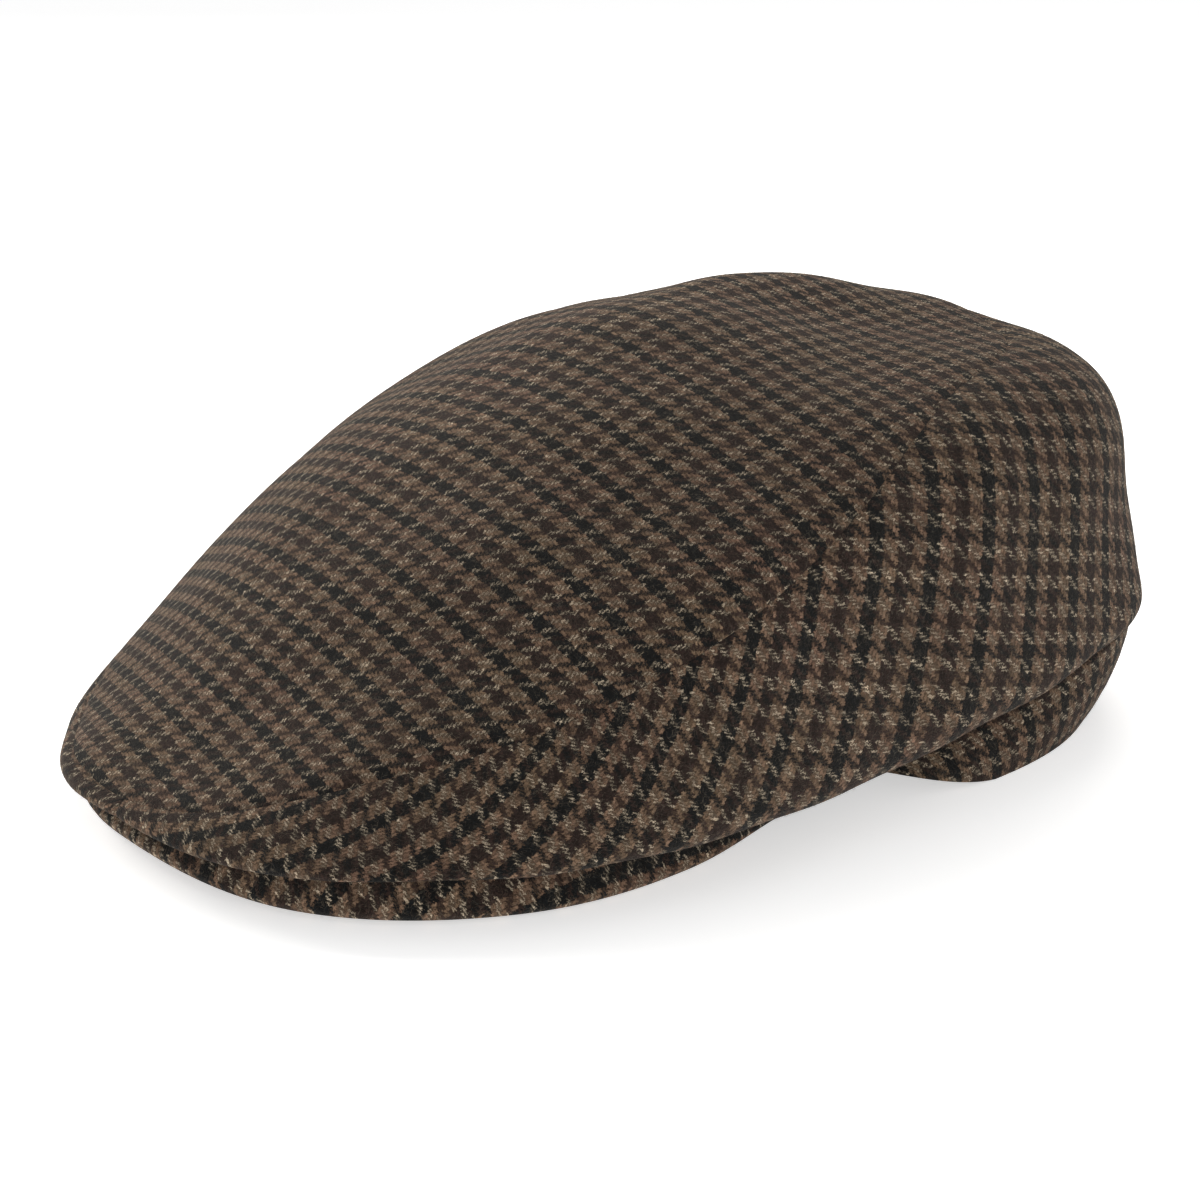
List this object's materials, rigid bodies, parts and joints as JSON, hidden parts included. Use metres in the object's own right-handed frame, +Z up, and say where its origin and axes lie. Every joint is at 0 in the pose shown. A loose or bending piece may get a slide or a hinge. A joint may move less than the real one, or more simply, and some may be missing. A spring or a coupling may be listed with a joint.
{
  "type": "flat cap",
  "caption": "Flat cap in brown gun-club check wool with a one-piece top panel, tapering side panels, a short cloth-covered peak and a narrow head band.",
  "frame": {"origin": "centre of the cap's outline in plan, on the surface the cap rests on", "axes": "+Z up, -Y to the front of the cap, +X to the wearer's left"},
  "size_m": [0.1864, 0.2792, 0.1086],
  "materials": {
    "check_wool": "matte brushed wool twill in a three-colour check"
  },
  "bodies": {
    "root": {"crown_top": "check_wool", "side_left": "check_wool", "side_right": "check_wool", "peak": "check_wool", "band": "check_wool"}
  },
  "joints": []
}
